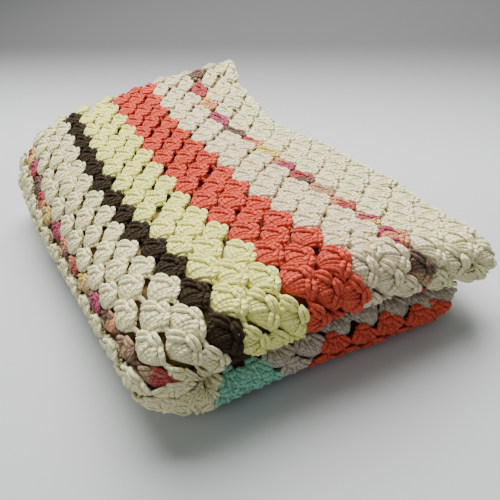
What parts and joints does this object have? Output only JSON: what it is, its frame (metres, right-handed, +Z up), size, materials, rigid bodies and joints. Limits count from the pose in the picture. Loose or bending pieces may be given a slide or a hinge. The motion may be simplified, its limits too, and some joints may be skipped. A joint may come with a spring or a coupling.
{
  "type": "granny square blanket",
  "caption": "Crocheted granny-stitch blanket folded in half three times into a soft, thick bundle that rests flat, with rounded folds at its left, front and right.",
  "frame": {"origin": "centre of the bounding box's bottom face, on the surface the folded blanket rests on", "axes": "+X towards the closed right end of the upper packet, +Y towards the back where the edges lie, +Z up"},
  "size_m": [0.2068, 0.2926, 0.0671],
  "materials": {
    "yarn": "soft matte crocheted yarn"
  },
  "bodies": {
    "root": {"blanket": "yarn"}
  },
  "joints": []
}
